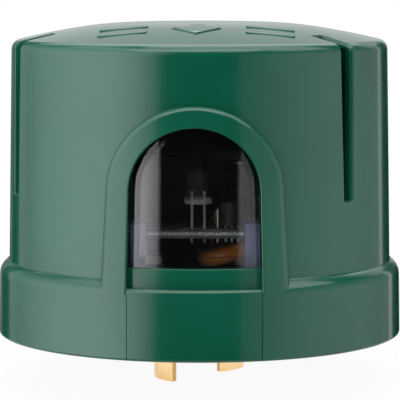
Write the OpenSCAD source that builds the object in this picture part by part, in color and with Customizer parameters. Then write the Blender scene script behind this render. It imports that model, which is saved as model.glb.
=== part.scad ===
// Plug-in photocell switch for outdoor lamps: a moulded cover with a smoked window, a light sensor
// on a circuit board behind the window, and a base with three twist-lock blades.
// Sizes are in millimetres. Heights count from the gasket face that lies on the socket, and the
// window looks towards -Y. Angles count from the window, seen from above, towards +X.

/* [Cover] */

// Radius of the rain skirt at its rim
skirt_r = 43; // [42.6:0.1:45]
// Radius of the skirt where its shoulder starts
skirt_top_r = 42.8; // [42:0.1:43]
// How far the rim hangs below the gasket face
skirt_drop = 9.1; // [7:0.1:12]
// Height where the shoulder starts
shoulder_z = 3.6; // [2.5:0.1:4]
// Rounding of the shoulder
shoulder_round = 3.6; // [3.2:0.1:4]
// Thickness of the skirt's wall
skirt_wall = 2.4; // [1.8:0.1:2.8]
// Radius of the body at its foot
body_foot_r = 40.8; // [40.2:0.1:41.2]
// Radius of the body under the top edge
body_top_r = 40; // [39.2:0.1:40.2]
// Height of the top edge
body_top_z = 53.2; // [50:0.1:60]
// Thickness of the body's wall
body_wall = 2.3; // [1.8:0.1:2.6]
// Rounding of the top edge
top_round = 2.2; // [0.8:0.1:2.5]
// Rise of the domed top over the top edge
dome_rise = 4.9; // [4:0.1:7]
// Radius of the flat in the middle of the dome
dome_flat_r = 18; // [14:0.5:18]
// Height of the raised marks on the dome
mark_h = 0.4; // [0.2:0.05:0.8]

/* [Window] */

// Height of the middle of the arch
arch_z = 24.2; // [22:0.2:26]
// Half width of the raised frame at the arch
frame_half = 17.15; // [16:0.05:18]
// Half width of the raised frame at its foot
frame_foot_half = 18.2; // [17.2:0.1:19.5]
// Half width of the opening at the arch
window_half = 13.1; // [12:0.1:13.6]
// Half width of the opening at its sill
window_foot_half = 13.5; // [13:0.1:14]
// Height of the sill
sill_z = 5.3; // [4.6:0.1:6.5]
// How far the wall in the frame's recess stands back from the body
recess_set = 0.1; // [0:0.05:0.4]
// Height of the lens's foot
lens_foot_z = 9.3; // [8.6:0.1:11]
// How far the pane stands back from the wall round it
pane_set = 0.1; // [0:0.05:0.3]
// Thickness of the lens's pane
pane_t = 2; // [1.4:0.1:2.6]
// Width of the lens's flange behind the wall
lens_flange_w = 2; // [1.2:0.1:2.2]
// Thickness of the lens's flange
lens_flange_t = 1.6; // [1:0.1:1.8]
// Gap round the lens
lens_gap = 0.12; // [0.05:0.01:0.25]

/* [Key slots] */

// Angle of the first of three slots
slot_angle = 50.6; // [49:0.2:56]
// Width of a slot at the top edge
slot_top_w = 3.7; // [3:0.1:4]
// Width of a slot at its foot
slot_foot_w = 2.8; // [2:0.1:3]
// Height of a slot's foot
slot_foot_z = 21.4; // [20:0.1:30]
// Depth of a slot behind the top edge
slot_depth = 7.3; // [5:0.1:8]

/* [Base] */

// Thickness of the gasket
gasket_h = 3; // [2.5:0.1:4]
// Gap between the gasket and the screws' heads
gasket_gap = 0.8; // [0.4:0.1:3]
// Inner radius of the gasket as a share of its outer radius
gasket_hole_share = 0.672; // [0.62:0.002:0.78]
// Thickness of the base plate
base_t = 3; // [2.5:0.1:4]
// Gap between the base plate and the skirt
base_gap = 0.25; // [0.1:0.05:0.4]
// Distance of the cover's screws from the base plate's edge
screw_inset = 5.75; // [5.55:0.05:5.95]
// Radius of the cover's screw bosses
boss_r = 3.7; // [3.2:0.1:3.8]
// Radius of a screw's shank
screw_r = 1.5; // [1.2:0.1:1.8]
// Radius of a screw's head
screw_head_r = 3.1; // [2.6:0.1:3.3]
// Height of a screw's head
screw_head_h = 2; // [1.4:0.1:2.2]
// Length of a screw's shank
screw_len = 11; // [8:0.5:13]
// Gap round screws and rivets
hole_gap = 0.1; // [0.05:0.01:0.15]

/* [Blades] */

// How far the blades stand turned from the slots
blade_turn = 1.4; // [0:0.1:2]
// Mean radius of the blade circle
blade_circle_r = 9.1; // [8.8:0.1:9.6]
// Thickness of the blades
blade_t = 1.4; // [1.1:0.1:1.6]
// Width of the neutral blade
neutral_w = 10.6; // [9.5:0.1:11]
// Width of the line and load blades
phase_w = 7.8; // [7.4:0.1:8.4]
// Length of the neutral blade below the gasket face
neutral_len = 19.1; // [15:0.1:22]
// Length of the line and load blades below the gasket face
phase_len = 16.8; // [14:0.1:20]
// Width of the locking notch beside a blade's root
notch_w = 1.9; // [1:0.1:2.2]
// Height of the locking notch below the gasket face
notch_h = 7; // [4:0.5:9]
// Half width of a blade's foot on the base
foot_half = 2.7; // [2.2:0.1:2.8]
// Distance of a foot's end from the middle
foot_end_r = 20; // [19.5:0.1:21]
// Distance of the rivets from the middle
rivet_circle_r = 14.6; // [14.2:0.1:15]
// Radius of a rivet's shank
rivet_r = 1.4; // [1.1:0.1:1.6]
// Radius of a rivet's heads
rivet_head_r = 2.4; // [2:0.1:2.5]
// Gap between a blade and its slot in the base
blade_gap = 0.12; // [0.05:0.01:0.2]

/* [Board] */

// Room between the base plate and the board
board_room = 8.3; // [8:0.1:9]
// Thickness of the board
board_t = 1.6; // [1.2:0.1:1.8]
// Radius of the board
board_r = 29.3; // [28:0.1:29.6]
// Gap between the board and the cover's screw bosses
board_gap = 0.8; // [0.5:0.1:1.2]
// Half width of the board's tongue between the rails
tongue_half = 9.8; // [9.6:0.1:10.4]
// How far the tongue's end stands back from the rails' ends
tongue_set = 2.65; // [2:0.05:3.2]
// Width of a rail
rail_w = 3; // [2:0.1:3.2]
// Gap between the tongue and a rail
rail_gap = 0.2; // [0.1:0.05:0.3]
// Gap between the rails and the lens
rail_clear = 0.9; // [0.6:0.1:1.6]
// How far the rails stand over the board
rail_over = 1.6; // [1:0.1:5]
// Length of a rail's seat under the board
rail_seat = 3; // [2:0.1:3.2]
// Radius of a board post
post_r = 3; // [2.6:0.1:3.2]
// Distance of the board posts from the middle
post_circle_r = 23.4; // [22.5:0.1:23.6]
// Radius of a board screw's shank
board_screw_r = 1; // [0.8:0.1:1.3]
// Length of a board screw's shank
board_screw_len = 6; // [4:0.5:7]

/* [Components] */

// Sensor's place across the board
sensor_x = 0.4; // [-1:0.05:0.6]
// Sensor's place in front of the middle
sensor_y = 26.8; // [26:0.1:27.2]
// Radius of the sensor's epoxy body
sensor_r = 2.5; // [2.2:0.1:2.7]
// How far the sensor's flange stands over the board
sensor_rise = 5.2; // [4:0.1:9]
// Length of the sensor's straight body with its flange
sensor_len = 4.7; // [4:0.1:6]
// Pitch of the sensor's leads
sensor_pitch = 2.54; // [2.2:0.02:2.6]
// Length of the relay
relay_l = 19; // [17:0.5:19]
// Width of the relay
relay_w = 15.5; // [14:0.5:16]
// Height of the relay
relay_h = 14; // [12:0.5:18]
// Radius of the surge arrester's disc
arrester_r = 7; // [6:0.1:7.2]
// Thickness of the surge arrester's disc
arrester_t = 3.4; // [3:0.1:3.6]
// Lean of the surge arrester
arrester_lean = 16; // [5:1:17]
// Radius of the electrolytic capacitor
can_r = 4; // [3:0.1:4.2]
// Height of the electrolytic capacitor
can_h = 12; // [8:0.5:16]
// Length of the film capacitor
film_l = 18; // [14:0.5:19]
// Width of the film capacitor
film_w = 7.5; // [6:0.1:8]
// Height of the film capacitor
film_h = 13; // [10:0.5:16]
// Length of a resistor's body
resistor_len = 6.4; // [5.6:0.1:6.6]
// Radius of a resistor's swollen ends
resistor_r = 1.25; // [1:0.05:1.3]
// Length of the standing resistor's body
standing_len = 2.4; // [2.2:0.1:3.6]
// Radius of the standing resistor's swollen ends
standing_r = 0.85; // [0.7:0.05:0.9]
// Length of a diode's body
diode_len = 5.2; // [4.6:0.1:5.6]
// Radius of a diode's body
diode_r = 1.35; // [1.1:0.05:1.4]
// Radius of a component's lead
lead_r = 0.3; // [0.25:0.01:0.35]
// Straight piece of a lead between a body and its bend or the board
lead_stub = 0.6; // [0.5:0.05:0.8]
// How far the leads poke out below the board
lead_poke = 1.4; // [0.8:0.1:2]
// Radius of an insulated wire
wire_r = 0.85; // [0.6:0.05:0.9]
// Radius of a wire's bends
wire_bend = 1.8; // [1.4:0.1:2]

/* [Hidden] */

$fn = 72;

// Heights of the base, the blade feet and the board
base_z = gasket_h;
base_top_z = base_z + base_t;
foot_top_z = base_top_z + blade_t;
board_z = base_top_z + board_room;
board_top_z = board_z + board_t;
sensor_z = board_top_z + sensor_rise;

// The dome's sphere, its flat, and the middle of the top edge's rounding
dome_r = (body_top_r * body_top_r + dome_rise * dome_rise) / (2 * dome_rise);
dome_z = body_top_z + dome_rise - dome_r;
flat_z = dome_z + sqrt(dome_r * dome_r - dome_flat_r * dome_flat_r);
round_reach = dome_r - top_round;
round_x = body_top_r - top_round;
round_z = dome_z + sqrt(pow(round_reach, 2) - pow(round_x, 2));
round_up = (dome_r + 1) / round_reach;

// The cover's walls
socket_r = skirt_top_r - skirt_wall;
body_lean = (body_foot_r - body_top_r) / (round_z - shoulder_z);
skirt_lean = (skirt_r - skirt_top_r) / (shoulder_z + skirt_drop);
function body_at(z) = body_foot_r - body_lean * (z - shoulder_z);
function skirt_at(z) = skirt_top_r - skirt_lean * (z - shoulder_z);
function inside_at(z) = body_at(z) - body_wall;
room_top_z = flat_z - body_wall;
near_y = body_foot_r / 2;
far_y = skirt_r * 1.4;

// The window
frame_top_z = arch_z + frame_half;
window_lean = (window_foot_half - window_half) / (arch_z - sill_z);
function window_at(z) = window_half + window_lean * (arch_z - z);
pane_in = recess_set + pane_set;
flange_out = body_wall + lens_gap;
flange_back = flange_out + lens_flange_t;

// The base's edge and what is placed from it
base_r = socket_r - base_gap;
screw_circle_r = base_r - screw_inset;
gasket_r = screw_circle_r - screw_head_r - gasket_gap;
gasket_hole_r = gasket_r * gasket_hole_share;
slot_inner_r = body_top_r - slot_depth;

// The rails that take the board's tongue, close behind the lens
rail_in = tongue_half + rail_gap;
rail_z = board_top_z + rail_over;
rail_out_r = body_at(rail_z) - flange_back - rail_clear;
rail_y = sqrt(pow(rail_out_r, 2) - pow(rail_in + rail_w, 2));
rail_back_y = sqrt(board_r * board_r - rail_in * rail_in) + 2 * rail_gap;
tongue_y = rail_y - tongue_set;

// Three equal places round the middle for slots and screws, and three for the blades
slot_angles = [slot_angle, slot_angle - 120, slot_angle + 120];
line_angle = slot_angle + blade_turn;
neutral_angle = line_angle - 120;
load_angle = line_angle + 120;
post_angles = [106, -134];

// Blades
blade_in_r = blade_circle_r - blade_t / 2;
notch_turn = notch_w / blade_circle_r * 180 / PI;
function turn_of(width) = width / blade_circle_r * 180 / PI;

// Components on the board: each lying part is [across, along, gap between its leads, turn]
resistor_places = [[17, -7.5, 10.2, 90], [20.6, -5.5, 10.2, 90]];
diode_places = [[-21, -3, 10.2, 90], [-24.4, -1, 10.2, 90]];
standing_x = 4.4;
standing_y = -22.6;
standing_gap = 2.6;
transistor_x = 7.3;
transistor_y = -24.6;
transistor_pitch = 1.27;
transistor_z = board_top_z + lead_stub;
arrester_x = 6.8;
arrester_y = -17.6;
arrester_z = (base_top_z + board_z) / 2;
arrester_pitch = 7.5;
arrester_lead_y = arrester_y + arrester_r + 0.3;
axial_z = board_top_z + 1.9;
hole_r = lead_r + 0.15;

// A flat drawing, seen from the window side, carried from one distance in front of the middle to another
module to_front(from, to) {
    translate([0, -from, 0])
        rotate([90, 0, 0])
            linear_extrude(to - from)
                children();
}

// Something drawn in front of the middle, turned to an angle
module turned(angle) {
    rotate([0, 0, angle])
        children();
}

// The body's cone up to a height, set back from its face, and longer at both ends by over
module body_cone(back, over, top) {
    translate([0, 0, -over])
        cylinder(r1 = body_at(-over) - back, r2 = body_at(top + over) - back, h = top + 2 * over);
}

// The arch of the raised frame
module frame_face() {
    translate([0, arch_z])
        circle(frame_half);
    polygon([
        [-frame_half, arch_z], [frame_half, arch_z],
        [frame_foot_half, shoulder_z], [-frame_foot_half, shoulder_z]
    ]);
}

// The arch of the opening, larger or smaller by grow, down to a foot
module window_face(grow, foot) {
    translate([0, arch_z])
        circle(window_half + grow);
    polygon([
        [-window_half - grow, arch_z], [window_half + grow, arch_z],
        [window_at(foot) + grow, foot], [-window_at(foot) - grow, foot]
    ]);
}

// A key slot seen from outside, larger by grow
module slot_face(grow) {
    foot = slot_foot_w / 2 + grow;
    top = slot_top_w / 2 + grow;
    start = slot_foot_z + slot_foot_w / 2;
    translate([0, start])
        circle(foot);
    polygon([[-foot, start], [foot, start], [top, flat_z + 3], [-top, flat_z + 3]]);
}

// Half section of the solid cover
module cover_section() {
    polygon([[0, -skirt_drop], [skirt_r, -skirt_drop], [skirt_top_r, shoulder_z], [0, shoulder_z]]);
    intersection() {
        translate([skirt_top_r - shoulder_round, shoulder_z])
            circle(shoulder_round);
        translate([0, shoulder_z])
            square([skirt_r, shoulder_round * 2]);
    }
    polygon([[0, shoulder_z], [body_foot_r, shoulder_z], [body_top_r, round_z], [0, round_z]]);
    intersection() {
        translate([round_x, round_z])
            circle(top_round);
        translate([0, round_z])
            square([body_top_r + 1, top_round * 2]);
    }
    intersection() {
        translate([0, dome_z])
            circle(dome_r);
        polygon([
            [0, round_z], [round_x, round_z],
            [round_x * round_up, dome_z + (round_z - dome_z) * round_up],
            [round_x, flat_z], [0, flat_z]
        ]);
    }
}

// Half section of the room inside the cover
module room_section() {
    translate([0, -skirt_drop - 1])
        square([socket_r, base_top_z + skirt_drop + 1]);
    intersection() {
        translate([0, dome_z])
            circle(dome_r - body_wall);
        polygon([
            [0, base_top_z - 1], [inside_at(base_top_z), base_top_z - 1],
            [inside_at(base_top_z), base_top_z], [inside_at(room_top_z), room_top_z], [0, room_top_z]
        ]);
    }
}

// Raised plain marks on the dome: an arrow that points at the window, and two pairs of bars
module mark_faces() {
    polygon([[-5, -23.5], [0, -29.5], [5, -23.5], [1.5, -23.5], [1.5, -18.5], [-1.5, -18.5], [-1.5, -23.5]]);
    for (side = [-1, 1]) {
        for (y = [-26, -19.5]) {
            translate([side * 15 - 5, y - 1])
                square([10, 2]);
        }
    }
}

module housing_cover() {
    color("#1d5a45")
        union() {
            difference() {
                union() {
                    rotate_extrude()
                        cover_section();
                    intersection() {
                        rotate_extrude()
                            polygon([
                                [0, shoulder_z], [skirt_top_r, shoulder_z],
                                [skirt_at(frame_top_z + 1), frame_top_z + 1], [0, frame_top_z + 1]
                            ]);
                        to_front(near_y, far_y)
                            frame_face();
                    }
                }
                difference() {
                    rotate_extrude()
                        room_section();
                    for (angle = slot_angles) {
                        turned(angle)
                            to_front(slot_inner_r - body_wall, far_y)
                                slot_face(body_wall);
                        turned(angle)
                            translate([0, -screw_circle_r, base_top_z])
                                cylinder(r = boss_r, h = slot_foot_z - base_top_z);
                    }
                }
                for (angle = slot_angles) {
                    turned(angle)
                        to_front(slot_inner_r, far_y)
                            slot_face(0);
                    turned(angle)
                        translate([0, -screw_circle_r, base_top_z - 1])
                            cylinder(r = screw_r + hole_gap, h = screw_len + 1);
                }
                difference() {
                    to_front(near_y, far_y)
                        window_face(0, sill_z);
                    body_cone(recess_set, 0, lens_foot_z);
                }
            }
            intersection() {
                linear_extrude(flat_z + 3)
                    mark_faces();
                translate([0, 0, dome_z])
                    difference() {
                        sphere(dome_r + mark_h);
                        sphere(dome_r - 1);
                    }
            }
        }
}

module window_lens() {
    low = lens_foot_z - lens_flange_w;
    color("#2b2f33")
        union() {
            difference() {
                intersection() {
                    to_front(near_y, far_y)
                        window_face(-lens_gap, lens_foot_z + lens_gap);
                    difference() {
                        body_cone(pane_in, 0, flat_z);
                        body_cone(flange_back, 1, flat_z);
                    }
                }
                intersection() {
                    to_front(near_y, far_y)
                        window_face(-pane_t, lens_foot_z + pane_t);
                    body_cone(pane_in + pane_t, 0, flat_z);
                }
            }
            difference() {
                intersection() {
                    difference() {
                        body_cone(flange_out, 0, flat_z);
                        body_cone(flange_back, 1, flat_z);
                    }
                    to_front(near_y, far_y)
                        window_face(lens_flange_w, low);
                }
                to_front(near_y, far_y)
                    window_face(-pane_t, lens_foot_z + pane_t);
            }
        }
}

module base_plate() {
    color("#8b96a8")
        difference() {
            union() {
                translate([0, 0, base_z])
                    cylinder(r = base_r, h = base_t);
                for (side = [0, 1]) {
                    mirror([side, 0, 0])
                        translate([rail_in, -rail_y, base_top_z - 1]) {
                            cube([rail_w, rail_y - rail_back_y + rail_seat, board_room + 1]);
                            cube([rail_w, rail_y - rail_back_y, rail_z - base_top_z + 1]);
                        }
                }
                for (angle = post_angles) {
                    turned(angle)
                        translate([0, -post_circle_r, base_top_z - 1])
                            cylinder(r = post_r, h = board_room + 1);
                }
            }
            for (angle = slot_angles) {
                turned(angle)
                    translate([0, -screw_circle_r, base_z - 1])
                        cylinder(r = screw_r + hole_gap, h = base_t + 2);
            }
            for (angle = post_angles) {
                turned(angle)
                    translate([0, -post_circle_r, board_top_z - board_screw_len - 0.5])
                        cylinder(r = board_screw_r + hole_gap, h = board_screw_len + 1);
            }
            root_cut(line_angle, phase_w);
            root_cut(load_angle, phase_w);
            root_cut(neutral_angle, neutral_w);
        }
}

// What a blade's root and rivet take out of the base
module root_cut(angle, width) {
    turn = turn_of(width) - notch_turn;
    slack = turn_of(blade_gap);
    rotate([0, 0, angle - 90 - turn_of(width) / 2 - slack])
        rotate_extrude(angle = turn + 2 * slack)
            translate([blade_in_r - blade_gap, base_z - 1])
                square([blade_t + 2 * blade_gap, base_t + 2]);
    turned(angle - notch_turn / 2)
        translate([0, -rivet_circle_r, base_z - 1])
            cylinder(r = rivet_r + hole_gap, h = base_t + 2);
}

module sealing_gasket() {
    color("#2a2a2c")
        difference() {
            cylinder(r = gasket_r, h = gasket_h);
            translate([0, 0, -1])
                cylinder(r = gasket_hole_r, h = gasket_h + 2);
        }
}

// A bent brass strip: an arc that goes into the socket, a narrower root, and a foot on the base
module blade(angle, width, length) {
    turn = turn_of(width);
    color("#d8a958")
        difference() {
            union() {
                rotate([0, 0, angle - 90 - turn / 2])
                    rotate_extrude(angle = turn)
                        translate([blade_in_r, -length])
                            square([blade_t, length + foot_top_z]);
                turned(angle - notch_turn / 2)
                    translate([-foot_half, -foot_end_r, base_top_z])
                        cube([2 * foot_half, foot_end_r - blade_circle_r, blade_t]);
            }
            rotate([0, 0, angle - 90 + turn / 2 - notch_turn])
                rotate_extrude(angle = notch_turn + 5)
                    translate([blade_in_r - 1, -notch_h])
                        square([blade_t + 2, notch_h + foot_top_z + 1]);
            turned(angle - notch_turn / 2)
                translate([0, -rivet_circle_r, base_top_z - 1])
                    cylinder(r = rivet_r + hole_gap, h = blade_t + 2);
        }
}

module neutral_blade() {
    blade(neutral_angle, neutral_w, neutral_len);
}

module line_blade() {
    blade(line_angle, phase_w, phase_len);
}

module load_blade() {
    blade(load_angle, phase_w, phase_len);
}

module blade_rivets() {
    color("#c9a052")
        for (angle = [line_angle, neutral_angle, load_angle]) {
            turned(angle - notch_turn / 2)
                translate([0, -rivet_circle_r, 0])
                    difference() {
                        union() {
                            translate([0, 0, base_z - 0.8])
                                cylinder(r = rivet_head_r, h = 0.8);
                            translate([0, 0, base_z - 0.1])
                                cylinder(r = rivet_r, h = foot_top_z - base_z + 0.2);
                            translate([0, 0, foot_top_z])
                                cylinder(r = rivet_head_r - 0.2, h = 0.6);
                        }
                        translate([0, 0, base_z - 2])
                            cylinder(r = rivet_r - 0.6, h = foot_top_z);
                    }
        }
}

// A pan-head screw with a cross recess, its head's seat at the origin and its shank along +Z
module screw(shank_r, shank_len, head_r, head_h) {
    difference() {
        union() {
            translate([0, 0, -head_h])
                cylinder(r1 = head_r * 0.8, r2 = head_r, h = head_h * 0.4);
            translate([0, 0, -head_h * 0.6])
                cylinder(r = head_r, h = head_h * 0.6);
            translate([0, 0, -0.1])
                cylinder(r = shank_r, h = shank_len - shank_r + 0.1);
            translate([0, 0, shank_len - shank_r])
                cylinder(r1 = shank_r, r2 = shank_r * 0.4, h = shank_r);
        }
        for (turn = [0, 90]) {
            rotate([0, 0, turn])
                translate([-head_r * 0.55, -head_r * 0.12, -head_h - 1])
                    cube([head_r * 1.1, head_r * 0.24, head_h * 0.6 + 1]);
        }
    }
}

module base_screws() {
    color("#b4b6b8")
        for (angle = slot_angles) {
            turned(angle)
                translate([0, -screw_circle_r, base_z])
                    screw(screw_r, screw_len, screw_head_r, screw_head_h);
        }
}

module board_screws() {
    color("#b4b6b8")
        for (angle = post_angles) {
            turned(angle)
                translate([0, -post_circle_r, board_top_z])
                    mirror([0, 0, 1])
                        screw(board_screw_r, board_screw_len, 2.3, 1.5);
        }
}

// The places of all holes for leads
module at_lead_holes() {
    for (place = concat(resistor_places, diode_places)) {
        for (side = [-1, 1]) {
            translate([place[0], place[1], 0])
                rotate([0, 0, place[3]])
                    translate([side * place[2] / 2, 0, 0])
                        children();
        }
    }
    translate([standing_x, standing_y, 0])
        children();
    translate([standing_x, standing_y - standing_gap, 0])
        children();
    for (step = [-1, 0, 1]) {
        translate([transistor_x + step * transistor_pitch, transistor_y, 0])
            children();
    }
    for (side = [-1, 1]) {
        translate([arrester_x + side * arrester_pitch / 2, arrester_lead_y, 0])
            children();
        translate([sensor_x + side * sensor_pitch / 2, -sensor_y, 0])
            children();
    }
}

module circuit_board() {
    color("#3c5a3a")
        translate([0, 0, board_z])
            difference() {
                linear_extrude(board_t)
                    union() {
                        circle(board_r);
                        translate([-tongue_half, -tongue_y])
                            square([2 * tongue_half, tongue_y]);
                    }
                at_lead_holes()
                    translate([0, 0, -1])
                        cylinder(r = hole_r, h = board_t + 2);
                for (angle = post_angles) {
                    turned(angle)
                        translate([0, -post_circle_r, -1])
                            cylinder(r = board_screw_r + 2 * hole_gap, h = board_t + 2);
                }
                for (angle = slot_angles) {
                    turned(angle)
                        translate([0, -screw_circle_r, -1])
                            cylinder(r = boss_r + board_gap, h = board_t + 2);
                }
            }
}

// The sensor's two leads with the post and the cup they end in
module sensor_leads() {
    half = 0.25;
    cup_z = sensor_z + 2.4;
    color("#c8c8c4")
        for (side = [-1, 1]) {
            translate([sensor_x + side * sensor_pitch / 2, -sensor_y, 0]) {
                translate([-half, -half, board_z - lead_poke])
                    cube([2 * half, 2 * half, cup_z + 0.1 - board_z + lead_poke]);
                translate([side > 0 ? -0.75 : -0.3, -0.4, cup_z])
                    cube([side > 0 ? 1.05 : 1.3, 0.8, side > 0 ? 0.6 : 1.1]);
            }
        }
}

module light_sensor() {
    color("#c9d2d6")
        difference() {
            translate([sensor_x, -sensor_y, sensor_z]) {
                cylinder(r = sensor_r, h = sensor_len);
                cylinder(r = sensor_r + 0.4, h = 1);
                translate([0, 0, sensor_len])
                    sphere(sensor_r);
            }
            sensor_leads();
        }
}

// A block with cut corners that stands on the board
module block(length, width, height, corner) {
    linear_extrude(height)
        polygon([
            [corner, 0], [length - corner, 0], [length, corner], [length, width - corner],
            [length - corner, width], [corner, width], [0, width - corner], [0, corner]
        ]);
}

module relay() {
    color("#26282b")
        translate([1.7 - relay_l, -9, board_top_z])
            union() {
                block(relay_l, relay_w, relay_h - 0.8, 0.5);
                translate([0.8, 0.8, 0])
                    block(relay_l - 1.6, relay_w - 1.6, relay_h, 0.5);
            }
}

module film_capacitor() {
    color("#6d7076")
        translate([-8, 9.5, board_top_z])
            difference() {
                block(film_l, film_w, film_h, 0.6);
                translate([2.5, -1, -1])
                    cube([film_l - 5, film_w + 2, 1.5]);
            }
}

module electrolytic_capacitor() {
    color("#1c1e24")
        translate([9.6, -4, board_top_z])
            difference() {
                rotate_extrude()
                    difference() {
                        square([can_r, can_h]);
                        translate([can_r + 0.25, 2])
                            circle(0.6);
                        translate([0, can_h - 0.3])
                            square([can_r - 0.7, 1]);
                    }
                for (turn = [0, 90]) {
                    rotate([0, 0, turn])
                        translate([-2.4, -0.15, can_h - 0.6])
                            cube([4.8, 0.3, 1]);
                }
            }
}

module surge_arrester() {
    rim = arrester_t / 2;
    out = sqrt(pow(arrester_r, 2) - pow(arrester_pitch / 2, 2));
    color("#c77a2c")
        union() {
            translate([arrester_x, arrester_y, arrester_z])
                rotate([0, -arrester_lean, 0])
                    rotate_extrude() {
                        translate([0, -rim])
                            square([arrester_r - rim, arrester_t]);
                        intersection() {
                            translate([arrester_r - rim, 0])
                                circle(rim);
                            translate([0, -rim])
                                square([arrester_r, arrester_t]);
                        }
                    }
            for (side = [-1, 1]) {
                z = arrester_z + side * arrester_pitch / 2 * sin(arrester_lean);
                translate([arrester_x + side * arrester_pitch / 2, arrester_lead_y, z]) {
                    rotate([90, 0, 0])
                        cylinder(r = lead_r, h = arrester_lead_y - arrester_y - out + 1);
                    sphere(lead_r);
                    cylinder(r = lead_r, h = board_top_z + 0.8 - z);
                }
            }
        }
}

module transistor() {
    color("#1a1a1c")
        translate([transistor_x, transistor_y, transistor_z])
            linear_extrude(4.6)
                intersection() {
                    circle(2.4);
                    translate([-3, -3])
                        square([6, 4.3]);
                }
}

// A lying or standing resistor's body along Z, with swollen ends
module resistor_body(length, radius) {
    cap = length * 0.234;
    rotate_extrude() {
        square([radius * 0.84, length]);
        square([radius, cap]);
        translate([0, length - cap])
            square([radius, cap]);
    }
}

module resistors() {
    color("#b79a6c")
        union() {
            for (place = resistor_places) {
                translate([place[0], place[1], axial_z])
                    rotate([0, 0, place[3]])
                        translate([-resistor_len / 2, 0, 0])
                            rotate([0, 90, 0])
                                resistor_body(resistor_len, resistor_r);
            }
            translate([standing_x, standing_y, board_top_z + lead_stub])
                resistor_body(standing_len, standing_r);
        }
}

module diodes() {
    color("#202022")
        for (place = diode_places) {
            translate([place[0], place[1], axial_z])
                rotate([0, 0, place[3]])
                    translate([-diode_len / 2, 0, 0])
                        rotate([0, 90, 0])
                            cylinder(r = diode_r, h = diode_len);
        }
}

// One end of a lying component: straight out of the body, then down through the board
module end_lead(reach, body_half) {
    translate([body_half, 0, axial_z])
        rotate([0, 90, 0])
            cylinder(r = lead_r, h = reach - body_half);
    translate([reach, 0, axial_z])
        sphere(lead_r);
    translate([reach, 0, board_z - lead_poke])
        cylinder(r = lead_r, h = axial_z - board_z + lead_poke);
}

module component_leads() {
    low = board_z - lead_poke;
    cap = board_top_z + lead_stub + standing_len;
    bow = cap + lead_stub;
    color("#c4c4c0")
        union() {
            for (turn = [0, 180]) {
                for (place = resistor_places) {
                    translate([place[0], place[1], 0])
                        rotate([0, 0, place[3] + turn])
                            end_lead(place[2] / 2, resistor_len / 2);
                }
                for (place = diode_places) {
                    translate([place[0], place[1], 0])
                        rotate([0, 0, place[3] + turn])
                            end_lead(place[2] / 2, diode_len / 2);
                }
            }
            translate([standing_x, standing_y, low])
                cylinder(r = lead_r, h = board_top_z + lead_stub - low);
            translate([standing_x, standing_y, cap]) {
                cylinder(r = lead_r, h = lead_stub);
                translate([0, 0, lead_stub])
                    sphere(lead_r);
                translate([0, 0, lead_stub])
                    rotate([90, 0, 0])
                        cylinder(r = lead_r, h = standing_gap);
            }
            translate([standing_x, standing_y - standing_gap, low])
                cylinder(r = lead_r, h = bow - low);
            translate([standing_x, standing_y - standing_gap, bow])
                sphere(lead_r);
            for (step = [-1, 0, 1]) {
                translate([transistor_x + step * transistor_pitch, transistor_y, low])
                    cylinder(r = lead_r, h = transistor_z - low);
            }
        }
}

// An insulated wire from a blade's foot up to the board, with two bends
module wire(angle, shade) {
    start = foot_end_r - 1.2;
    rise = (board_z - foot_top_z) / 2 - wire_bend;
    run = 1.6;
    color(shade)
        rotate([0, 0, angle - notch_turn / 2 - 90])
            translate([start, 0, foot_top_z])
                union() {
                    cylinder(r = wire_r, h = rise);
                    translate([wire_bend, 0, rise])
                        rotate([90, 0, 0])
                            rotate([0, 0, 90])
                                rotate_extrude(angle = 90)
                                    translate([wire_bend, 0])
                                        circle(wire_r);
                    translate([wire_bend, 0, rise + wire_bend])
                        rotate([0, 90, 0])
                            cylinder(r = wire_r, h = run);
                    translate([wire_bend + run, 0, rise + 2 * wire_bend])
                        rotate([90, 0, 0])
                            rotate([0, 0, 270])
                                rotate_extrude(angle = 90)
                                    translate([wire_bend, 0])
                                        circle(wire_r);
                    translate([2 * wire_bend + run, 0, rise + 2 * wire_bend])
                        cylinder(r = wire_r, h = rise);
                }
}

module line_wire() {
    wire(line_angle, "#1b1b1d");
}

module load_wire() {
    wire(load_angle, "#a02820");
}

module neutral_wire() {
    wire(neutral_angle, "#e4e2da");
}

housing_cover();
window_lens();
base_plate();
sealing_gasket();
neutral_blade();
line_blade();
load_blade();
blade_rivets();
base_screws();
circuit_board();
board_screws();
light_sensor();
sensor_leads();
relay();
film_capacitor();
electrolytic_capacitor();
surge_arrester();
transistor();
resistors();
diodes();
component_leads();
line_wire();
load_wire();
neutral_wire();
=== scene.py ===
import math
import bmesh
import bpy
from mathutils import Matrix, Vector


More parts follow.
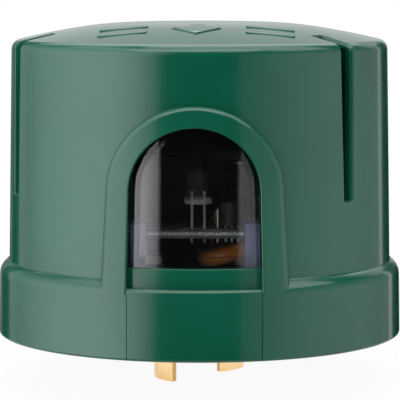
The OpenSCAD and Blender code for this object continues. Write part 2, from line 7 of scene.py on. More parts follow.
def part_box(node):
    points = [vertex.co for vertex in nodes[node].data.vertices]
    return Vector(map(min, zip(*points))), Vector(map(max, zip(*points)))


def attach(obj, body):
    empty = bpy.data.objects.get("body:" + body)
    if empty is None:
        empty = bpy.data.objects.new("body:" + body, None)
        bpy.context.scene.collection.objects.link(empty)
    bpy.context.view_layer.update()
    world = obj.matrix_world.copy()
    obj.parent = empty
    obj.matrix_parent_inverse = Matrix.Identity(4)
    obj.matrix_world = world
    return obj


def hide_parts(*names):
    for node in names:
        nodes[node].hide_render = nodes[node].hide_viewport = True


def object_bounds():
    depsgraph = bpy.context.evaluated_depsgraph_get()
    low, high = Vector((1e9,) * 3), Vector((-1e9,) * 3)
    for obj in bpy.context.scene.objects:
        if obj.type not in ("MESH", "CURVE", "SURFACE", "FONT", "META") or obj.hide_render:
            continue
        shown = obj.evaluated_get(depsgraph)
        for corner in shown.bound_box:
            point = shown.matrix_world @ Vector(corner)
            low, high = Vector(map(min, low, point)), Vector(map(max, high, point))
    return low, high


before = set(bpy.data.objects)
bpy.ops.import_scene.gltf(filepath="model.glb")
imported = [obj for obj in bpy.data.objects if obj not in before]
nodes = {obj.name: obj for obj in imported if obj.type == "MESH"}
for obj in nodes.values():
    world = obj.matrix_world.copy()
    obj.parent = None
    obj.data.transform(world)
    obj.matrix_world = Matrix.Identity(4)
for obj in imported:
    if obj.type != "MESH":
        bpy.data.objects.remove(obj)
cad_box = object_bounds()

# Base plate: a round plate of pale grey-blue filled plastic, moulded in one with the two rails and
# two posts that carry the board. It lies under the ledge of the cover and is held by three screws.


def ink(code):
    """A colour as it is seen, written as six hex digits, for a shader."""
    parts = [int(code[k:k + 2], 16) / 255 for k in (1, 3, 5)]
    return tuple(p / 12.92 if p < 0.04045 else ((p + 0.055) / 1.055) ** 2.4 for p in parts) + (1.0,)


class Grain:
    """One output among a finish's nodes. Sums and products of grains add Math nodes."""

    def __init__(self, tree, socket=None):
        self.tree = tree
        self.socket = socket

    def node(self, kind, settings, values, out=0):
        """One output of a new node with these settings and these values on its inputs."""
        made = self.tree.nodes.new(kind)
        for name, value in settings.items():
            setattr(made, name, value)
        for name, value in values.items():
            self.feed(made.inputs[name], value)
        return Grain(self.tree, made.outputs[out])

    def feed(self, socket, value):
        """Puts a grain or an even value on a socket."""
        if isinstance(value, Grain):
            self.tree.links.new(value.socket, socket)
        else:
            socket.default_value = value

    def maths(self, operation, first, second):
        return self.node("ShaderNodeMath", {"operation": operation}, {0: first, 1: second})

    def __add__(self, other):
        return self.maths("ADD", self, other)

    def __radd__(self, other):
        return self.maths("ADD", other, self)

    def __sub__(self, other):
        return self.maths("SUBTRACT", self, other)

    def __rsub__(self, other):
        return self.maths("SUBTRACT", other, self)

    def __mul__(self, other):
        return self.maths("MULTIPLY", self, other)

    def __gt__(self, other):
        return self.maths("GREATER_THAN", self, other)

    def __lt__(self, other):
        return self.maths("LESS_THAN", self, other)

    def shift(self, low, high):
        """This grain from nought at low to one at high, softly."""
        settings = {"interpolation_type": "SMOOTHSTEP"}
        return self.node("ShaderNodeMapRange", settings, {"Value": self, "From Min": low, "From Max": high})

    def cloud(self, size, detail=3.0, stretch=(1, 1, 1)):
        """Soft noise on this place, about size metres from lump to lump."""
        turned = self.node("ShaderNodeMapping", {}, {"Vector": self, "Scale": stretch})
        return self.node("ShaderNodeTexNoise", {}, {"Vector": turned, "Scale": 1 / size, "Detail": detail})

    def between(self, under, over):
        """A colour from under to over, as this grain goes from nought to one."""
        return self.node("ShaderNodeMix", {"data_type": "RGBA"}, {0: self, 6: under, 7: over}, 2)

    def along(self, axis):
        """One of this place's three lengths."""
        return self.node("ShaderNodeSeparateXYZ", {}, {0: self}, axis)


def finish(name, rough, **constants):
    """A new finish with even values on its shader, and the place that its patterns read."""
    made = bpy.data.materials.new(name)
    made.use_nodes = True
    shader = made.node_tree.nodes["Principled BSDF"]
    shader.inputs["Roughness"].default_value = rough
    for socket, value in constants.items():
        shader.inputs[socket.replace("_", " ")].default_value = value
    place = Grain(made.node_tree).node("ShaderNodeTexCoord", {}, {}, "Object")
    return made, shader, place


def moulded(name, shade, deep, rough, lump, relief):
    """Plastic from a mould: a little cloudy in colour and gloss, with a faint skin of given lump size."""
    made, shader, place = finish(name, rough)
    drift = place.cloud(lump * 14)
    skin = place.cloud(lump, 2.0)
    place.feed(shader.inputs["Base Color"], drift.shift(0.3, 0.7).between(ink(deep), ink(shade)))
    place.feed(shader.inputs["Roughness"], rough * 0.8 + skin * rough * 0.4)
    bump = place.node("ShaderNodeBump", {}, {"Strength": 0.3, "Distance": relief, "Height": skin})
    place.feed(shader.inputs["Normal"], bump)
    return made


def dress(node, made):
    """Gives a solid its finish."""
    for held in nodes[node].material_slots:
        held.material = made


dress("base_plate", moulded("base_grey", "#64739a", "#57668a", 0.42, 0.0005, 0.00004))

# Blades: three bent strips of rolled brass, each an arc that turns into the socket, with a notch
# that locks it there. The stamped edges are a little broken. Tubular brass rivets hold the feet.

smooth_below = math.radians(38)


def broken(bm, edges, width, steps, clamped=True):
    """Rounds some edges of a shape."""
    bmesh.ops.bevel(bm, geom=edges, offset=width, offset_type="OFFSET", segments=steps, profile=0.5,
                    affect="EDGES", clamp_overlap=clamped, material=-1)


def eased(node, width, steps, slot):
    """A copy of a solid with its triangles joined and its sharp edges rounded, in the solid's place."""
    bm = bmesh.new()
    bm.from_mesh(nodes[node].data)
    bmesh.ops.remove_doubles(bm, verts=bm.verts, dist=0.000002)
    bmesh.ops.dissolve_limit(bm, angle_limit=math.radians(0.4), verts=bm.verts, edges=bm.edges)
    sharp = [e for e in bm.edges if len(e.link_faces) == 2 and e.calc_face_angle() > math.radians(35)]
    broken(bm, sharp, width, steps)
    return settle(node + "_eased", bm, slot, node)


def settle(name, bm, slot, *stands_for):
    """Makes a shape an object of the part, smooth but for its sharp edges."""
    mesh = bpy.data.meshes.new(name)
    bm.to_mesh(mesh)
    bm.free()
    mesh.shade_smooth()
    mesh.set_sharp_from_angle(angle=smooth_below)
    made = bpy.data.objects.new(name, mesh)
    bpy.context.scene.collection.objects.link(made)
    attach(made, "root")
    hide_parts(*stands_for)
    return made


def metal(name, shade, deep, rough, lump, stretch, painted_end_shade=None):
    """Rolled or turned metal: fine lines of changing gloss, and a slightly uneven colour. On an arc round
    the axis, the faces at the ends get a darker colour, as painted shade."""
    made, shader, place = finish(name, rough, Metallic=1.0)
    lines = place.cloud(lump, 4.0, stretch)
    stain = place.cloud(0.006)
    colour = stain.shift(0.35, 0.75).between(ink(shade), ink(deep))
    # Painted shade: faces that look along the arc round the axis get a darker colour.
    if painted_end_shade:
        out = place.node("ShaderNodeVectorMath", {"operation": "CROSS_PRODUCT"},
                         {0: place, 1: (0.0, 0.0, 1.0)}, "Vector")
        round_axis = place.node("ShaderNodeVectorMath", {"operation": "NORMALIZE"}, {0: out}, "Vector")
        facing = place.node("ShaderNodeNewGeometry", {}, {}, "Normal")
        lie = place.node("ShaderNodeVectorMath", {"operation": "DOT_PRODUCT"},
                         {0: round_axis, 1: facing}, "Value")
        colour = (lie * lie).shift(0.2, 0.6).between(colour, ink(painted_end_shade))
    place.feed(shader.inputs["Base Color"], colour)
    place.feed(shader.inputs["Roughness"], rough * 0.7 + lines * rough * 0.6)
    bump = place.node("ShaderNodeBump", {}, {"Strength": 0.25, "Distance": 0.00002, "Height": lines})
    place.feed(shader.inputs["Normal"], bump)
    return made


# The last colour is painted shade on the ends of the blades.
blade_brass = metal("blade_brass", "#ffdca4", "#eec07c", 0.3, 0.0004, (1, 1, 0.06), "#cda768")
for node in ("neutral_blade", "line_blade", "load_blade"):
    eased(node, 0.00018, 2, "blade_brass").data.materials.append(blade_brass)
rivets = eased("blade_rivets", 0.00012, 2, "rivet_brass")
rivets.data.materials.append(metal("rivet_brass", "#e2bd78", "#c49a54", 0.34, 0.0003, (1, 1, 1)))

# Circuit board: a round sheet of glass laminate with a tongue that goes between the rails. Its
# faces are lacquered grey-green with tinned tracks. Its sawn edge shows pale glass fibres only in a
# mid-height band, which is a painted highlight, and is dark grey above and below that band.

board, shader, place = finish("board_laminate", 0.4)
weave = place.node("ShaderNodeTexChecker", {}, {"Vector": place, "Scale": 1400.0}, "Fac")
tracks = place.node("ShaderNodeTexVoronoi", {"feature": "DISTANCE_TO_EDGE", "distance": "CHEBYCHEV"},
                    {"Vector": place, "Scale": 190.0}, "Distance").shift(0.06, 0.09)
speckle = place.cloud(0.0006, 2.0).shift(0.4, 0.65)
bare = speckle.between(ink("#4c524e"), ink("#5c635e"))
sheet = tracks.between(ink("#9a9e98"), bare)
fibres = place.cloud(0.0005, 4.0, (1, 1, 2.5)).shift(0.35, 0.7)
facing = place.node("ShaderNodeNewGeometry", {}, {}, "Normal").along(2)
edge = 1 - (facing * facing).shift(0.2, 0.5)
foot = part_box("circuit_board")[0][2]
rise = place.along(2)
# Painted highlight: a pale band with the fibre pattern at mid height on the sawn edge; the rest of the edge
# is dark grey.
painted_edge_highlight = rise.shift(foot + 0.0004, foot + 0.0009) * (1 - rise.shift(foot + 0.001, foot + 0.0014))
sawn_edge_with_highlight = painted_edge_highlight.between(ink("#4a4d4f"), fibres.between(ink("#6a6e70"), ink("#dde0e2")))
place.feed(shader.inputs["Base Color"], edge.between(sheet, sawn_edge_with_highlight))
place.feed(shader.inputs["Roughness"], 0.32 + weave * 0.08 + edge * 0.25)
bump = place.node("ShaderNodeBump", {}, {"Strength": 0.4, "Distance": 0.00003, "Height": 1 - tracks})
place.feed(shader.inputs["Normal"], bump)
dress("circuit_board", board)

# Relay and film capacitor: two boxed parts soldered to the board, the relay in matt black plastic
# with a stepped lid, the capacitor in grey plastic filled with resin.

for node, slot, width, shade, deep, rough, lump in (
    ("relay", "relay_black", 0.0003, "#1b1c1f", "#141518", 0.36, 0.0006),
    ("film_capacitor", "film_grey", 0.0004, "#7a7e86", "#6a6e76", 0.45, 0.0005),
):
    case = moulded(slot, shade, deep, rough, lump, 0.00005)
    eased(node, width, 3, slot).data.materials.append(case)

# Electrolytic capacitor: an aluminium can in a shrunk dark sleeve with one pale stripe. The bare
# top of the can is stamped with a cross that lets it open.

can, shader, place = finish("can_sleeve", 0.28)
low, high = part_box("electrolytic_capacitor")
bare = place.along(2) > high[2] - 0.0004
stripe = place.along(0) > (low[0] + high[0]) / 2 + 0.0034
sleeve = stripe.between(ink("#23262e"), ink("#b9bcc2"))
place.feed(shader.inputs["Base Color"], bare.between(sleeve, ink("#cfd2d6")))
place.feed(shader.inputs["Metallic"], bare)
place.feed(shader.inputs["Roughness"], 0.22 + place.cloud(0.0008) * 0.12 + bare * 0.08)
dress("electrolytic_capacitor", can)

# Surge arrester: a disc under the board, dipped in amber epoxy that wets its leads, so that the
# coat is glossy, uneven and thinner at the rim.

arrester, shader, place = finish("arrester_amber", 0.26)
coat = place.cloud(0.0032)
place.feed(shader.inputs["Base Color"], coat.shift(0.3, 0.7).between(ink("#ee8a2a"), ink("#ffae52")))
place.feed(shader.inputs["Roughness"], 0.2 + place.cloud(0.0006) * 0.14)
bump = place.node("ShaderNodeBump", {}, {"Strength": 0.4, "Distance": 0.00012, "Height": coat})
place.feed(shader.inputs["Normal"], bump)
dress("surge_arrester", arrester)

# Transistor and diodes: small parts moulded in dull black epoxy, the diodes with a pale ring at
# one end.

moulding = moulded("moulding_black", "#242427", "#1a1a1c", 0.5, 0.0003, 0.00004)
dress("transistor", moulding)
rings, shader, place = finish("ringed_black", 0.45)
low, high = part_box("diodes")
outer = place.along(0) < (low[0] + high[0]) / 2
start = low[1] + 0.0006 + outer * 0.002
ring = (place.along(1) > start) * (place.along(1) < start + 0.0008)
place.feed(shader.inputs["Base Color"], ring.between(ink("#202023"), ink("#c8c8c4")))
place.feed(shader.inputs["Roughness"], 0.38 + place.cloud(0.0004) * 0.2)
dress("diodes", rings)

# Resistors: small ceramic cylinders with swollen ends in a tan lacquer, with coloured rings for
# their value. Two lie flat and one stands on end.

lacquer, shader, place = finish("resistor_tan", 0.34)
tint = place.cloud(0.0015).shift(0.3, 0.7).between(ink("#c2a474"), ink("#ad8e5e"))
standing = place.along(1) < -0.018
upright_start, upright_pitch, upright_width = 0.0169, 0.0004, 0.0002
lying_start, lying_pitch, lying_width = -0.0098, 0.0011, 0.0006
for step, code in ((0, "#6b3a1e"), (1, "#2a2a2c"), (2, "#c06a22"), (3.4, "#b08c3a")):
    low = upright_start + step * upright_pitch
    upright = (place.along(2) > low) * (place.along(2) < low + upright_width)
    low = lying_start + step * lying_pitch
    lying = (place.along(1) > low) * (place.along(1) < low + lying_width)
    band = upright * standing + lying * (1 - standing)
    tint = band.between(tint, ink(code))
place.feed(shader.inputs["Base Color"], tint)
place.feed(shader.inputs["Roughness"], 0.28 + place.cloud(0.0005) * 0.14)
dress("resistors", lacquer)

# Light sensor: a clear epoxy body with a domed top and a flange, cast round the cup and post that
# its two tinned leads end in. All other leads are tinned wire too.

epoxy, shader, place = finish("sensor_epoxy", 0.06, IOR=1.52, Specular_IOR_Level=0.2)
haze = place.cloud(0.0014)
flange = place.along(2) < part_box("light_sensor")[0][2] + 0.001
place.feed(shader.inputs["Alpha"], 0.015 + flange * 0.3 + haze * 0.02)
place.feed(shader.inputs["Base Color"], haze.shift(0.3, 0.8).between(ink("#e9eef2"), ink("#d3dbe2")))
place.feed(shader.inputs["Roughness"], 0.03 + haze * 0.06)
dress("light_sensor", epoxy)
tin = metal("lead_tin", "#e6e6e2", "#d2d2ce", 0.42, 0.0003, (1, 1, 0.1))
dress("sensor_leads", tin)
dress("component_leads", tin)

# Wires: three short lengths of stranded wire in black, red and white plastic, from the blades'
# feet up to the board.

for node, shade, deep in (
    ("line_wire", "#232326", "#1a1a1c"),
    ("load_wire", "#b03028", "#98241e"),
    ("neutral_wire", "#e6e4dc", "#d4d2c8"),
):
    dress(node, moulded(node + "_jacket", shade, deep, 0.4, 0.0004, 0.00003))

# Screws: zinc-plated pan-head screws with a cross recess. Three hold the base to the cover's
# bosses, two smaller ones hold the board to its posts.

zinc = metal("screw_steel", "#c9ccd0", "#aeb2b8", 0.3, 0.0003, (1, 1, 1))
eased("base_screws", 0.00012, 2, "screw_steel").data.materials.append(zinc)
eased("board_screws", 0.00008, 2, "screw_steel").data.materials.append(zinc)

# Gasket: a flat ring cut from closed-cell black foam and glued to the base. It shows its open cut
# cells at the edges, and it is the face that seals on the socket.

foam, shader, place = finish("gasket_foam", 0.85)
cells = place.node("ShaderNodeTexVoronoi", {"feature": "F1"},
                   {"Vector": place, "Scale": 1600.0}, "Distance")
drift = place.cloud(0.004)
place.feed(shader.inputs["Base Color"], drift.shift(0.3, 0.7).between(ink("#2b2b2d"), ink("#38383a")))
place.feed(shader.inputs["Roughness"], 0.75 + cells * 0.25)
bump = place.node("ShaderNodeBump", {}, {"Strength": 0.7, "Distance": 0.00015, "Height": cells})
place.feed(shader.inputs["Normal"], bump)
dress("sealing_gasket", foam)

# Lens: an arched pane of smoked polycarbonate, curved with the body, with a flange behind the wall
# that holds it. It is clear enough for the sensor to see through it, and glossy.

smoke, shader, place = finish("lens_smoked", 0.05, Alpha=0.22, IOR=2.4, Specular_IOR_Level=1.0,
                             Specular_Tint=(0.98, 0.95, 1.0, 1))
haze = place.cloud(0.01)
place.feed(shader.inputs["Base Color"], haze.shift(0.3, 0.7).between(ink("#0a0c0e"), ink("#0f1214")))
place.feed(shader.inputs["Roughness"], 0.04 + place.cloud(0.003) * 0.03)
dress("window_lens", smoke)

# Cover: one moulding of glossy dark green plastic, a tapered body with a domed top on a wider rain
# skirt, with a raised arched frame round the window. Three slots in the edge take a turning tool.
# Its inner faces are painted nearly black, as painted shade in the hollow.

mm = 0.001
slot_angles = (50.6, 170.6, 290.6)
skirt_r, skirt_top = 42.8, 3.6
body_r, body_foot = 40.8, 6.66
lean_skirt = 0.2 / 12.7
lean_body = 0.8 / 47.87
# Each rounding of the outer section: its middle's distance from the axis, its middle's height, its radius.
shoulder = (39.2, 3.6, 3.6)
top_edge = (37.8, 51.47, 2.2)
dome_side = (0, -107.6, 165.7)
dome_crown = (12.92, -22.88, 80)
dome_start, dome_turn = 76.63, 81.33
edge_slope = 4.208
dome_join = 24.98
crown_top = 57.12


def arc(middle, height, radius, start, end, steps):
    """Points of a rounding in a section, angles in degrees from outward to upward."""
    turns = [math.radians(start + (end - start) * k / steps) for k in range(steps + 1)]
    return [(middle + radius * math.cos(t), height + radius * math.sin(t)) for t in turns]


def joined(bm, points, closed):
    """A line through points, in a new or started shape."""
    line = [bm.verts.new(p) for p in points]
    pairs = list(zip(line, line[1:])) + ([(line[-1], line[0])] if closed else [])
    return line + [bm.edges.new(pair) for pair in pairs]


def tool(name, bm):
    """A shape that is joined to the cover or cut out of it."""
    bmesh.ops.remove_doubles(bm, verts=bm.verts, dist=0.0000005)
    bmesh.ops.recalc_face_normals(bm, faces=bm.faces)
    mesh = bpy.data.meshes.new(name)
    bm.to_mesh(mesh)
    bm.free()
    made = bpy.data.objects.new(name, mesh)
    bpy.context.scene.collection.objects.link(made)
    return made


def worked(body, steps):
    """The body's mesh after each tool is joined to it or cut out of it; the tools are used up."""
    for operation, other in steps:
        change = body.modifiers.new(other.name, "BOOLEAN")
        change.operation = operation
        change.solver = "EXACT"
        change.object = other
    graph = bpy.context.evaluated_depsgraph_get()
    mesh = bpy.data.meshes.new_from_object(body.evaluated_get(graph))
    body.modifiers.clear()
    body.data = mesh
    for operation, other in steps:
        bpy.data.objects.remove(other)


crease = [(41.108, 6.653), (40.745, 6.852), (40.737, 7.35)]
bend = []
for k in range(1, 5):
    t = k / 4
    bend.append(tuple((1 - t) ** 2 * a + 2 * t * (1 - t) * b + t * t * c for a, b, c in zip(*crease)))
section = [(0, 54.82), (17.87, 54.82), (24, 54.03), (30, 53.02), (37.7, 51.39), (38.46, 6), (40.4, 6)]
section += arc(40.9, -8.6, 0.5, 180, 270, 3)
section += arc(42.4, -8.5, 0.6, 270, 359, 4)
section += arc(*shoulder, 0, 58, 10)
section += bend
section += arc(*top_edge, 0, dome_start, 10)
section += arc(*dome_side, dome_start, dome_turn, 5)[1:]
section += arc(*dome_crown, dome_turn, 90, 8)[1:]
section += [(0, crown_top)]
shell = bmesh.new()
start = math.radians(slot_angles[0] - 4)
points = [Vector((r * math.sin(start), -r * math.cos(start), z)) * mm for r, z in section]
swept = joined(shell, points, False)
for slot_angle in slot_angles:
    for sweep, steps in ((8, 2), (112, 112)):
        made = bmesh.ops.spin(shell, geom=swept, cent=(0, 0, 0), axis=(0, 0, 1),
                              angle=math.radians(sweep), steps=steps)
        swept = made["geom_last"]
cover = tool("cover", shell)


def prism(outline, near, far, angle):
    """A flat drawing seen from outside, carried from near to far, and turned to an angle."""
    bm = bmesh.new()
    face = bm.faces.new([bm.verts.new((x * mm, -near * mm, z * mm)) for x, z in outline])
    made = bmesh.ops.extrude_face_region(bm, geom=[face])
    moved = [v for v in made["geom"] if isinstance(v, bmesh.types.BMVert)]
    bmesh.ops.translate(bm, vec=(0, (near - far) * mm, 0), verts=moved)
    turn = Matrix.Rotation(math.radians(angle), 3, "Z")
    bmesh.ops.rotate(bm, cent=(0, 0, 0), matrix=turn, verts=bm.verts)
    return bm


def post(radius, distance, low, high, angle):
    """An upright round post at an angle and distance from the middle."""
    bm = bmesh.new()
    turn = math.radians(angle)
    spot = Matrix.Translation((distance * math.sin(turn) * mm, -distance * math.cos(turn) * mm,
                               (low + high) / 2 * mm))
    bmesh.ops.create_cone(bm, cap_ends=True, segments=40, radius1=radius * mm, radius2=radius * mm,
                          depth=(high - low) * mm, matrix=spot)
    return bm


wall = [(-3.65, 19.1), (3.65, 19.1), (4.1, 53.2), (-4.1, 53.2)]
mouth = arc(-1.35, 21.8, 0.4, 180, 270, 4) + arc(0.35, 21.8, 0.4, 270, 360, 4)
mouth += [(1.2, 60.1), (-2.65, 60.1)]
screw_circle_r, boss_r, pilot_r = 34.4, 3.7, 1.6
beyond = 60
steps = []
for angle in slot_angles:
    steps.append(("UNION", tool("slot_wall", prism(wall, 30.4, 38.4, angle))))
    steps.append(("UNION", tool("boss", post(boss_r, screw_circle_r, 5.5, 20.5, angle))))
for angle in slot_angles:
    steps.append(("DIFFERENCE", tool("slot_cut", prism(mouth, 32, beyond, angle))))
    steps.append(("DIFFERENCE", tool("pilot", post(pilot_r, screw_circle_r, 5, 17, angle))))
worked(cover, steps)


def skin(point):
    """How far a point lies outside the turned skin of the cover, and the skin's direction there."""
    r = math.hypot(point.x, point.y) / mm
    z = point.z / mm
    round_way = Vector((point.x, point.y, 0)).normalized() if r > 0.01 else Vector((1, 0, 0))
    front = r - (skirt_r - lean_skirt * (z - skirt_top))
    if z < skirt_top or abs(front) < 0.05:
        off, out, up = front, 1, lean_skirt
    elif body_foot <= z < top_edge[1]:
        off, out, up = r - (body_r - lean_body * (z - skirt_top)), 1, lean_body
    elif z >= body_foot and r <= dome_crown[0]:
        off, out, up = z - crown_top, 0, 1
    else:
        if z < body_foot:
            middle, height, radius = shoulder
        elif r > top_edge[0] and (z - top_edge[1]) < (r - top_edge[0]) * edge_slope:
            middle, height, radius = top_edge
        elif r > dome_join:
            middle, height, radius = dome_side
        else:
            middle, height, radius = dome_crown
        out, up = r - middle, z - height
        off = math.hypot(out, up) - radius
    return off, (round_way * out + Vector((0, 0, up))).normalized()


wide_lip, narrow_lip = (0.0009, 6), (0.00025, 3)
slot_middle = 0.0006
bm = bmesh.new()
bm.from_mesh(cover.data)
for after, (width, segments) in ((True, wide_lip), (False, narrow_lip)):
    lips = []
    for e in bm.edges:
        middle = (e.verts[0].co + e.verts[1].co) / 2
        turn = math.degrees(math.atan2(middle.x, -middle.y))
        beside = min(((turn - angle + 180) % 360 - 180 for angle in slot_angles), key=abs)
        across = math.hypot(middle.x, middle.y) * math.sin(math.radians(beside))
        if abs(beside) < 5 and len(e.link_faces) == 2 and e.calc_face_angle() > math.radians(35):
            if abs(skin(middle)[0]) < 0.04 and middle.z > 0.02 and (across > slot_middle) == after:
                lips.append(e)
    broken(bm, lips, width, segments, False)
bm.to_mesh(cover.data)
bm.free()


def to_wall(bm, sunk, least):
    """Bends a flat shape, whose depth stands for its radius at the shoulder, round the cover. Below the
    shoulder it can lean in, and near it the radius stays at least at a given one."""
    for v in bm.verts:
        x, r, z = v.co.x / mm, -v.co.y / mm, v.co.z / mm
        lean = lean_skirt + (skirt_r - r) / (skirt_r - body_r) * (lean_body - lean_skirt)
        r -= lean * (z - skirt_top)
        if z < skirt_top and sunk:
            r -= 0.35 * (skirt_top - z)
        if z < 6.5:
            r = max(r, least)
        v.co = Vector((x, -math.sqrt(r * r - x * x), z)) * mm


def band(outline, half):
    """A section carried straight across the window's front, from one side to the other."""
    steps = 36
    bm = bmesh.new()
    swept = joined(bm, [Vector((half, -r, z)) * mm for r, z in outline], True)
    bmesh.ops.spin(bm, geom=swept, dvec=(-2 * half / steps * mm, 0, 0), axis=(0, 0, 1), cent=(0, 0, 0),
                   angle=0, steps=steps)
    bmesh.ops.holes_fill(bm, edges=[e for e in bm.edges if e.is_boundary], sides=0)
    return bm


arch_z, arch_r, arch_width, arch_sag = 24.2, 13.1, 4.75, 0.36
leg_fall, inner_spread, outer_spread = 20.6, 0.43, 0.62
rim = [(arch_r, 38.6)] + arc(13.45, 42.45, 0.35, 180, 90, 3) + arc(16.6, 41.6, 1.2, 90, 6, 9)
rim += [(17.85, 40.9), (17.9, 38.6)]
ring = bmesh.new()
swept = joined(ring, [Vector((x, -r, arch_z)) * mm for x, r in rim], True)
first = [e for e in swept if isinstance(e, bmesh.types.BMEdge)]
made = bmesh.ops.spin(ring, geom=swept, cent=(0, 0, arch_z * mm), axis=(0, -1, 0), angle=math.pi, steps=72)
last = [e for e in made["geom_last"] if isinstance(e, bmesh.types.BMEdge)]
for v in ring.verts:
    rise = v.co.z - arch_z * mm
    outward = math.hypot(v.co.x, rise)
    v.co.z -= arch_sag * (outward - arch_r * mm) / arch_width * (rise / outward) ** 2
for leg in (first, last):
    height = arch_z
    for level in (18, 12, 8, 5.3, 3.7, 2.4):
        grown = bmesh.ops.extrude_edge_only(ring, edges=leg)["geom"]
        leg = [e for e in grown if isinstance(e, bmesh.types.BMEdge)]
        fall = (height - level) / leg_fall
        for v in [v for v in grown if isinstance(v, bmesh.types.BMVert)]:
            spread = inner_spread + (abs(v.co.x) / mm - arch_r) / 4.05 * outer_spread
            v.co.x += math.copysign(fall * spread * mm, v.co.x)
            v.co.z = level * mm
        height = level
bmesh.ops.holes_fill(ring, edges=[e for e in ring.edges if e.is_boundary], sides=0)
to_wall(ring, True, 41.05)
sill = [(42.72, 2.4), (42.81, 3.45)] + arc(42.01, 4.5, 0.8, 0, 90, 7) + [(41.1, 5.3), (41.1, 2.4)]
panel = band(sill, 13.42)
to_wall(panel, False, 41.05)
recess = band([(40.7, 5.305), (46, 5.305), (46, 9.5), (40.7, 9.5)], 13.47)
to_wall(recess, False, 40)
window_foot = 9.3
opening = [(-13.39, window_foot), (13.39, window_foot)] + arc(0, arch_z, 13.08, 0, 180, 72)
arrow = [(-5, -23.5), (-1.5, -23.5), (-1.5, -18.5), (1.5, -18.5), (1.5, -23.5), (5, -23.5), (0, -29.5)]
bars = []
for x, y in ((-15, -26), (-15, -19.5), (15, -26), (15, -19.5)):
    bars.append([(x - 5, y - 1), (x - 5, y + 1), (x + 5, y + 1), (x + 5, y - 1)])
steps = [("UNION", tool("frame_ring", ring)), ("UNION", tool("sill_panel", panel))]
for outline in [arrow] + bars:
    mark = bmesh.new()
    face = mark.faces.new([mark.verts.new((x * mm, y * mm, 0)) for x, y in outline])
    grown = bmesh.ops.extrude_face_region(mark, geom=[face])["geom"]
    top = set(v for v in grown if isinstance(v, bmesh.types.BMVert))
    for v in mark.verts:
        reach = math.hypot(v.co.x, v.co.y) / mm
        middle, height, radius = dome_crown if reach < dome_join else dome_side
        dome = math.sqrt(radius ** 2 - (reach - middle) ** 2) + height
        v.co.z = (dome + (0.3 if v in top else -0.8)) * mm
    broken(mark, [e for e in mark.edges if sum(v in top for v in e.verts) == 2], 0.0002, 2)
    steps.append(("UNION", tool("mark", mark)))
steps.append(("DIFFERENCE", tool("recess_cut", recess)))
for side in (-1, 1):
    line = [(side * x, z) for x, z in ((13.43, -10), (13.57, -10), (13.57, 5.2), (13.43, 5.2))]
    steps.append(("DIFFERENCE", tool("groove", prism(line, 40.4, beyond, 0))))
steps.append(("DIFFERENCE", tool("window_cut", prism(opening, 30, beyond, 0))))
worked(cover, steps)
bm = bmesh.new()
bm.from_mesh(cover.data)
foot = []
for e in bm.edges:
    middle = (e.verts[0].co + e.verts[1].co) / 2
    level = max(abs(v.co.z - window_foot * mm) for v in e.verts) < 0.00002
    if level and middle.y < 0 and 0.0404 < math.hypot(middle.x, middle.y) < 0.0408:
        if len(e.link_faces) == 2 and e.calc_face_angle() > math.radians(60):
            foot.append(e)
broken(bm, foot, 0.0007, 6)
bm.to_mesh(cover.data)
bm.free()
mesh = cover.data
mesh.shade_smooth()
mesh.set_sharp_from_angle(angle=smooth_below)
turned = {}
for face in mesh.polygons:
    corners = [mesh.vertices[k].co for k in face.vertices]
    if all(abs(skin(c)[0]) < 0.045 for c in corners) and face.normal.dot(skin(face.center)[1]) > 0.98:
        for k in face.vertices:
            turned[k] = skin(mesh.vertices[k].co)[1]
normals = []
for corner, usual in zip(mesh.loops, mesh.corner_normals):
    way = turned.get(corner.vertex_index)
    normals.append(way if way is not None and way.dot(usual.vector) > 0.82 else usual.vector.copy())
mesh.normals_split_custom_set(normals)
mesh.name = "cover"
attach(cover, "root")
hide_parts("housing_cover")
green, shader, place = finish("cover_green", 0.16)
drift = place.cloud(0.02)
peel = place.cloud(0.0022, 1.0)
flat = place.node("ShaderNodeVectorMath", {"operation": "MULTIPLY"}, {0: place, 1: (1, 1, 0)})
across = place.node("ShaderNodeVectorMath", {"operation": "LENGTH"}, {0: flat}, "Value")
# Painted shade: inside the body, below the top, the green turns nearly black for the dark hollow.
painted_inner_shade = (1.0 - across.shift(0.0375, 0.0396)) * (place.along(2) < 0.0525)
skin_green = drift.shift(0.3, 0.7).between(ink("#064735"), ink("#074d3a"))
place.feed(shader.inputs["Base Color"], painted_inner_shade.between(skin_green, ink("#021a12")))
place.feed(shader.inputs["Roughness"], 0.13 + place.cloud(0.012) * 0.05)
bump = place.node("ShaderNodeBump", {}, {"Strength": 0.12, "Distance": 0.00001, "Height": peel})
place.feed(shader.inputs["Normal"], bump)
mesh.materials.clear()
mesh.materials.append(green)

# Studio: a pale floor under the blades that fades into white, a big soft lamp on the left and a weaker
# one on the right, each with a narrow strip behind it, lamps above that draw the top edge, and a pale
# sky behind that the dome reflects.

floor_mesh = bpy.data.meshes.new("floor")
bm = bmesh.new()
bmesh.ops.create_grid(bm, x_segments=1, y_segments=1, size=6.0)
bmesh.ops.translate(bm, vec=(0, 0, cad_box[0][2] - 0.0002), verts=bm.verts)
bm.to_mesh(floor_mesh)
bm.free()
floor = bpy.data.objects.new("floor", floor_mesh)
bpy.context.scene.collection.objects.link(floor)
pale, shader, place = finish("floor_pale", 0.9)
shader.inputs["Base Color"].default_value = (0.62, 0.62, 0.62, 1)
tree = pale.node_tree
away = place.node("ShaderNodeVectorMath", {"operation": "LENGTH"}, {0: place}, "Value")
seen = place.node("ShaderNodeLightPath", {}, {}, "Is Camera Ray")
through = place.node("ShaderNodeLightPath", {}, {}, "Is Transmission Ray")
mirrored = place.node("ShaderNodeLightPath", {}, {}, "Is Glossy Ray")
glow = place.node("ShaderNodeEmission", {}, {"Strength": 1.0})
share = (seen + through + mirrored) * (0.94 + away.shift(0.06, 0.16) * 0.06)
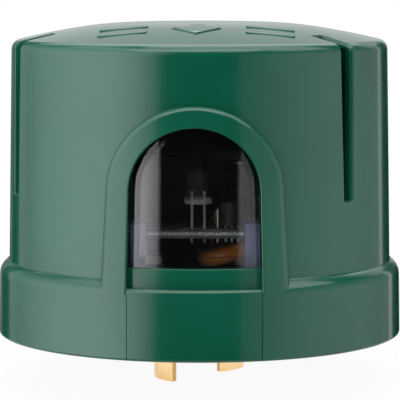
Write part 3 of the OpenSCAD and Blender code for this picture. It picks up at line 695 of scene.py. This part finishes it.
faded = place.node("ShaderNodeMixShader", {}, {0: share, 1: Grain(tree, shader.outputs[0]), 2: glow})
clear = place.node("ShaderNodeBsdfTransparent", {}, {})
below = place.node("ShaderNodeNewGeometry", {}, {}, "Backfacing") * seen
ended = place.node("ShaderNodeMixShader", {},
                   {0: mirrored * away.shift(0.05, 0.08) + below, 1: faded, 2: clear})
place.feed(tree.nodes["Material Output"].inputs["Surface"], ended)
floor_mesh.materials.append(pale)


def lamp(name, azimuth, distance, height, width, tall, watts, hot, reach, edge, crown=1.0):
    """A soft rectangular lamp that faces the part. It is hottest at a share of its width, and falls
    over a reach either side of that to an edge level, and from its middle up to a crown level."""
    light = bpy.data.lights.new(name, "AREA")
    light.shape = "RECTANGLE"
    light.size = width
    light.size_y = tall
    light.energy = watts
    light.use_nodes = True
    cloth = Grain(light.node_tree)
    spot = cloth.node("ShaderNodeNewGeometry", {}, {}, "Parametric")
    off = cloth.maths("ABSOLUTE", spot.along(0) - hot, 0.0).shift(0.0, reach)
    up = spot.along(1).shift(0.45, 1.0)
    bright = (1.0 - off * (1.0 - edge)) * (1.0 - up * (1.0 - crown))
    cloth.feed(light.node_tree.nodes["Emission"].inputs["Strength"], bright)
    held = bpy.data.objects.new(name, light)
    turn = math.radians(azimuth)
    held.location = (distance * math.sin(turn), -distance * math.cos(turn), height)
    aim = Vector((0, 0, 0.02)) - held.location
    held.rotation_euler = aim.to_track_quat("-Z", "Y").to_euler()
    bpy.context.scene.collection.objects.link(held)


# Name, azimuth, distance, height, width, tall, watts, hottest share, reach, edge level, crown level.
lamp("left_box", -80, 0.7, 0.2, 2.42, 1.5, 38.0, 0.63, 0.44, 0.18, 0.35)
lamp("left_strip", -156.5, 0.8, -0.05, 0.1, 0.7, 0.055, 0.5, 0.5, 0.8)
lamp("right_box", 80, 0.8, 0.0, 2.3, 1.14, 10.0, 0.48, 0.42, 0.38, 0.25)
lamp("right_strip", 139.4, 0.8, -0.1, 0.09, 0.8, 0.25, 0.5, 0.5, 0.8)
lamp("left_top", -80, 0.45, 0.75, 0.8, 0.35, 1.1, 0.5, 0.6, 0.6)
lamp("right_top", 145, 0.75, 0.45, 0.5, 0.35, 0.5, 0.5, 0.6, 0.6)
lamp("front_box", -1, 0.46, 0.68, 0.9, 0.42, 4.7, 0.5, 0.6, 0.6)
lamp("top_box", 75, 0.28, 0.85, 0.7, 1.25, 7.6, 0.5, 0.6, 0.6)
lamp("back_box", 180, 0.6, 0.85, 1.2, 0.7, 5.6, 0.5, 0.6, 0.6)
world = bpy.data.worlds.new("studio")
bpy.context.scene.world = world
world.use_nodes = True
sky = Grain(world.node_tree)
way = sky.node("ShaderNodeTexCoord", {}, {}, "Generated")
above = way.along(2).shift(0.0, 0.08)
level = way.along(2).shift(-0.09, -0.01)
behind = way.along(1).shift(0.3, 0.7)
aside = sky.maths("ABSOLUTE", way.along(0), 0.0).shift(0.14, 0.3)
light = above * 0.06 + level * behind * (1.0 - aside) * 0.66 + 0.012
sky.feed(world.node_tree.nodes["Background"].inputs["Strength"], light)
world.node_tree.nodes["Background"].inputs["Color"].default_value = (1, 1, 1, 1)
eye = bpy.data.cameras.new("eye")
eye.sensor_width = 36
eye.lens = 209.5
camera = bpy.data.objects.new("eye", eye)
turn, distance = math.radians(1.45), 0.4974
camera.location = (distance * math.sin(turn), -distance * math.cos(turn), 0.0695)
aim = Vector((0.0001, 0, 0.019)) - camera.location
camera.rotation_euler = aim.to_track_quat("-Z", "Y").to_euler()
bpy.context.scene.collection.objects.link(camera)
bpy.context.scene.camera = camera
bpy.context.scene.view_settings.view_transform = "Standard"
